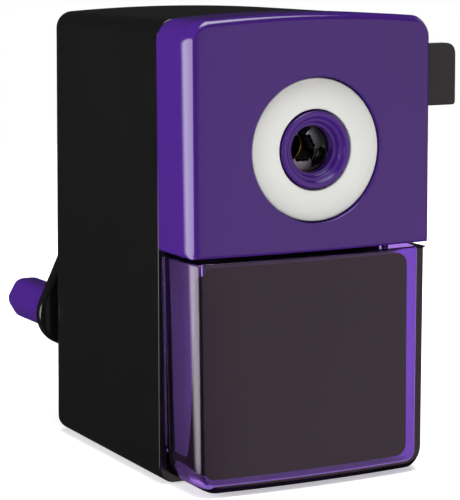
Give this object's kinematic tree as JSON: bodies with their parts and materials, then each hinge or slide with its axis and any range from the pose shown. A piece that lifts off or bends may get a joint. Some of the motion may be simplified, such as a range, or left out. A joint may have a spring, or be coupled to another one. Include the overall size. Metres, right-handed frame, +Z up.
{
  "type": "pencil sharpener",
  "caption": "Hand-crank desk pencil sharpener with a pull-out chuck front, release lever, planetary cutter, clear shavings drawer and turning crank grip.",
  "frame": {"origin": "on the desk, under the middle of the body, at the centre of the non-slip pad's underside", "axes": "+X to the right seen from the front, +Y to the back along the pencil, +Z up"},
  "size_m": [0.084, 0.1283, 0.12],
  "materials": {
    "black_abs": "moulded, satin to gloss",
    "violet_abs": "moulded, high gloss",
    "ivory_abs": "moulded, fine satin",
    "clear_violet": "clear tinted, polished",
    "grey_nylon": "moulded, fine texture",
    "black_rubber": "moulded, matt",
    "bright_steel": "turned, zinc plated",
    "dark_steel": "hardened, dull",
    "cast_zinc": "die-cast, tumbled",
    "brass": "turned"
  },
  "bodies": {
    "housing": {"body_shell": "black_abs", "base_plate": "black_abs", "foot_front_left": "black_rubber", "foot_front_right": "black_rubber", "foot_rear_left": "black_rubber", "foot_rear_right": "black_rubber", "centre_pad": "black_rubber", "base_screw_1": "bright_steel", "base_screw_2": "bright_steel", "base_screw_3": "bright_steel", "base_screw_4": "bright_steel", "mechanism_frame": "black_abs", "frame_screw_left": "bright_steel", "frame_screw_right": "bright_steel", "ring_gear": "cast_zinc", "pencil_sleeve": "grey_nylon", "rear_bushing": "brass"},
    "crank": {"cutter_carrier": "cast_zinc", "cutter_axle": "bright_steel", "crank_shaft": "bright_steel", "crank_arm": "black_abs", "crank_nut": "bright_steel", "handle_pin": "bright_steel"},
    "cutter": {"helical_cutter": "dark_steel", "cutter_pinion": "bright_steel"},
    "grip": {"handle_grip": "violet_abs"},
    "drawer": {"drawer": "clear_violet"},
    "front_carriage": {"front_cover": "violet_abs", "bezel_ring": "ivory_abs", "chuck_front_plate": "black_abs", "chuck_back_plate": "black_abs", "chuck_screw_1": "bright_steel", "chuck_screw_2": "bright_steel", "chuck_screw_3": "bright_steel", "guide_rod_left": "bright_steel", "guide_rod_right": "bright_steel", "rod_clip_left": "dark_steel", "rod_clip_right": "dark_steel", "feed_spring_left": "bright_steel", "feed_spring_right": "bright_steel", "lever_spring": "bright_steel"},
    "lever": {"cam_ring": "dark_steel", "release_lever": "grey_nylon", "lever_rivet_1": "bright_steel", "lever_rivet_2": "bright_steel"},
    "jaw_1": {"chuck_jaw_1": "dark_steel"},
    "jaw_2": {"chuck_jaw_2": "dark_steel"},
    "jaw_3": {"chuck_jaw_3": "dark_steel"}
  },
  "joints": [
    {"name": "crank_spin", "type": "hinge", "parent": "housing", "child": "crank", "pos_m": [0, 0.042, 0.086], "axis": [0, 1, 0], "continuous": true},
    {"name": "cutter_spin", "type": "hinge", "parent": "crank", "child": "cutter", "pos_m": [0, -0.02513, 0.09692], "axis": [0, 0.9903, -0.1392], "continuous": true},
    {"name": "grip_spin", "type": "hinge", "parent": "crank", "child": "grip", "pos_m": [-0.0284, 0.058, 0.03258], "axis": [0, 1, 0], "continuous": true},
    {"name": "drawer_slide", "type": "slide", "parent": "housing", "child": "drawer", "axis": [0, -1, 0], "range_m": [0, 0.055]},
    {"name": "front_pull", "type": "slide", "parent": "housing", "child": "front_carriage", "axis": [0, -1, 0], "range_m": [0, 0.03], "stiffness_N_per_m": 120, "springref_m": -0.02, "deforming": ["feed_spring_left", "feed_spring_right"]},
    {"name": "lever_press", "type": "hinge", "parent": "front_carriage", "child": "lever", "pos_m": [0, -0.0421, 0.086], "axis": [0, 1, 0], "range_deg": [0, 15], "stiffness_Nm_per_rad": 0.12, "springref_deg": -14.32, "deforming": ["lever_spring"]},
    {"name": "jaw_1_slide", "type": "slide", "parent": "front_carriage", "child": "jaw_1", "axis": [0.866, 0, 0.5], "range_m": [0, 0.00221]},
    {"name": "jaw_2_slide", "type": "slide", "parent": "front_carriage", "child": "jaw_2", "axis": [-0.866, 0, 0.5], "range_m": [0, 0.00221]},
    {"name": "jaw_3_slide", "type": "slide", "parent": "front_carriage", "child": "jaw_3", "axis": [0, 0, -1], "range_m": [0, 0.00221]}
  ],
  "couplings": [
    {"joint": "cutter_spin", "follows": "crank_spin", "ratio": -2.75},
    {"joint": "jaw_1_slide", "follows": "lever_press", "m_per_rad": 0.0084034},
    {"joint": "jaw_2_slide", "follows": "lever_press", "m_per_rad": 0.0084034},
    {"joint": "jaw_3_slide", "follows": "lever_press", "m_per_rad": 0.0084034}
  ]
}
